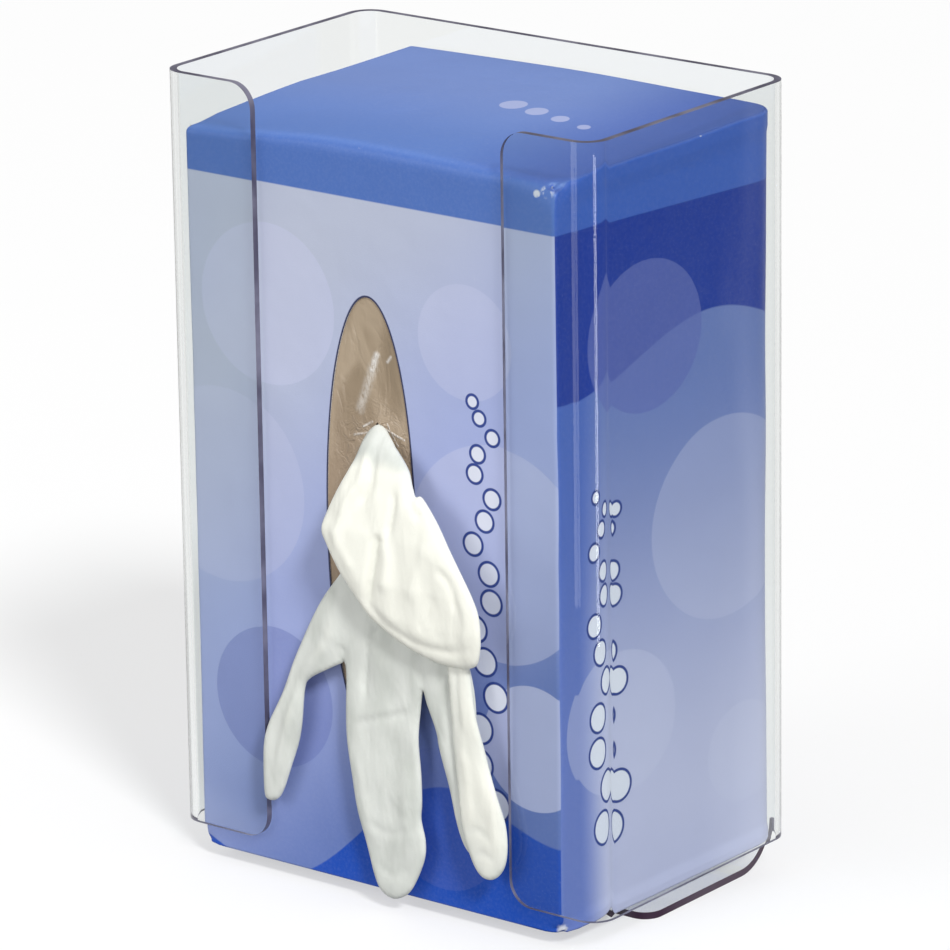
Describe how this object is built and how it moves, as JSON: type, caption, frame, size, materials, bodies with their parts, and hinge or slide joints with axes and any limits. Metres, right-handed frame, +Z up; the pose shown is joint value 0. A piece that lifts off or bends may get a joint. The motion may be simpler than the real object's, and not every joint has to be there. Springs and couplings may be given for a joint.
{
  "type": "disposable glove dispenser",
  "caption": "Clear open-fronted wall pocket bent from one sheet, holding a carton of disposable gloves with one glove pulled part way out of its oval opening.",
  "frame": {"origin": "centre of the flat underside of the shelf tab, the face the dispenser stands on", "axes": "+Z up along the walls, +Y towards the wall it is fixed to, X across the front"},
  "size_m": [0.174, 0.118, 0.2684],
  "materials": {
    "clear_sheet": "clear and glossy, sawn edges a smoky grey",
    "printed_card": "satin printed card in blues and lavender",
    "tan_film": "glossy, slightly wrinkled tan film",
    "latex": "matt creamy white powdered latex"
  },
  "bodies": {
    "root": {"clear_holder": "clear_sheet", "glove_carton": "printed_card", "slit_film": "tan_film", "glove_stack": "latex", "hanging_glove": "latex"}
  },
  "joints": []
}
